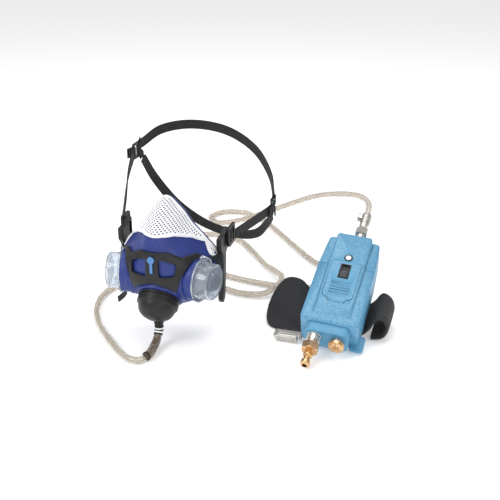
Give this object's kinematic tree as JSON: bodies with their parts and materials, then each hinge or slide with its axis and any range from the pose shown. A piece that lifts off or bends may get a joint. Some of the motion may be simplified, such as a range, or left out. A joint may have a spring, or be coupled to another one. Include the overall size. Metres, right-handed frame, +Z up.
{
  "type": "powered air respirator",
  "caption": "Half mask with a net nose cover, side valve covers and head harness, fed by a clear hose from a belt-worn blue regulator unit with a brass inlet plug.",
  "frame": {"origin": "centre of the face seal, on the plane that meets the face", "axes": "+Y points into the wearer's head, the mask looks along -Y, +Z is up, +X is the wearer's left"},
  "size_m": [0.3288, 0.4154, 0.1764],
  "materials": {
    "blue_rubber": "matte",
    "peg_plastic": "semi-gloss",
    "white_net": "knitted",
    "black_plastic": "satin",
    "black_webbing": "woven",
    "clear_plastic": "clear",
    "soft_rubber": "matte",
    "case_blue": "fine matte",
    "grey_plastic": "matte",
    "white_plastic": "gloss",
    "nickel": "polished",
    "brass": "polished",
    "steel": "satin",
    "hose_pvc": "translucent"
  },
  "bodies": {
    "mask_and_unit": {"facepiece": "blue_rubber", "nose_cover": "white_net", "harness_yoke": "black_plastic", "front_peg": "peg_plastic", "left_valve_seat": "blue_rubber", "right_valve_seat": "blue_rubber", "inlet_cup": "black_plastic", "inlet_seat": "black_plastic", "inlet_barb": "black_plastic", "left_buckle": "black_plastic", "right_buckle": "black_plastic", "left_strap": "black_webbing", "right_strap": "black_webbing", "left_cradle_slide": "black_plastic", "right_cradle_slide": "black_plastic", "crown_band": "black_webbing", "nape_band": "black_webbing", "lower_pull_tab": "black_webbing", "air_hose": "hose_pvc", "hose_guard": "steel", "front_cover": "case_blue", "back_cover": "case_blue", "door_pin": "steel", "indicator_ring": "black_plastic", "indicator_lens": "white_plastic", "regulator_body": "nickel", "regulator_diaphragm": "soft_rubber", "regulator_spring": "steel", "regulator_cap": "grey_plastic", "filter_cartridge": "white_plastic", "filter_seal": "soft_rubber", "manifold": "nickel", "case_screw_1": "steel", "case_screw_2": "steel", "case_screw_3": "steel", "case_screw_4": "steel", "base_collar": "case_blue", "inlet_nut": "nickel", "inlet_plug": "brass", "knob_gland": "nickel", "outlet_fitting": "nickel", "outlet_nut": "nickel", "hose_clamp": "steel", "clamp_screw": "steel", "belt_plate": "grey_plastic", "belt": "black_webbing", "belt_buckle": "steel"},
    "left_cover": {"left_valve_cover": "clear_plastic"},
    "right_cover": {"right_valve_cover": "clear_plastic"},
    "left_flap": {"left_exhale_valve": "soft_rubber"},
    "right_flap": {"right_exhale_valve": "soft_rubber"},
    "inhale_flap": {"inhale_valve": "soft_rubber"},
    "knob": {"flow_knob": "brass"},
    "needle": {"flow_needle": "steel"},
    "door": {"filter_door": "case_blue", "switch_bezel": "black_plastic"},
    "slider": {"slide_switch": "grey_plastic"},
    "roller": {"buckle_roller": "steel"}
  },
  "joints": [
    {"name": "left_cover_twist", "type": "hinge", "parent": "mask_and_unit", "child": "left_cover", "pos_m": [0.0415, -0.035, -0.028], "axis": [0.9848, -0.1736, 0], "range_deg": [0, 20]},
    {"name": "right_cover_twist", "type": "hinge", "parent": "mask_and_unit", "child": "right_cover", "pos_m": [-0.0415, -0.035, -0.028], "axis": [0.9848, 0.1736, 0], "range_deg": [0, 20]},
    {"name": "left_exhale_lift", "type": "slide", "parent": "mask_and_unit", "child": "left_flap", "axis": [0.9848, -0.1736, 0], "range_m": [0, 0.0012], "stiffness_N_per_m": 25, "springref_m": -0.0004},
    {"name": "right_exhale_lift", "type": "slide", "parent": "mask_and_unit", "child": "right_flap", "axis": [-0.9848, -0.1736, 0], "range_m": [0, 0.0012], "stiffness_N_per_m": 25, "springref_m": -0.0004},
    {"name": "inhale_lift", "type": "slide", "parent": "mask_and_unit", "child": "inhale_flap", "axis": [0, 0.749, 0.6626], "range_m": [0, 0.001], "stiffness_N_per_m": 25, "springref_m": -0.0004},
    {"name": "knob_turn", "type": "hinge", "parent": "mask_and_unit", "child": "knob", "pos_m": [0.17939, -0.03326, -0.08281], "axis": [0.0553, 0.9199, 0.3881], "range_deg": [0, 270]},
    {"name": "needle_travel", "type": "slide", "parent": "mask_and_unit", "child": "needle", "axis": [-0.0553, -0.9199, -0.3881], "range_m": [0, 0.001]},
    {"name": "door_hinge", "type": "hinge", "parent": "mask_and_unit", "child": "door", "pos_m": [0.17052, 0.0044, -0.05342], "axis": [0.9973, -0.0321, -0.0659], "range_deg": [0, 100]},
    {"name": "switch_slide", "type": "slide", "parent": "door", "child": "slider", "axis": [0.0582, 0.8936, 0.4451], "range_m": [0, 0.008]},
    {"name": "roller_spin", "type": "hinge", "parent": "mask_and_unit", "child": "roller", "pos_m": [0.124, -0.009, -0.0955], "axis": [1, 0, 0], "continuous": true}
  ],
  "couplings": [
    {"joint": "needle_travel", "follows": "knob_turn", "m_per_rad": 0.0001989}
  ]
}
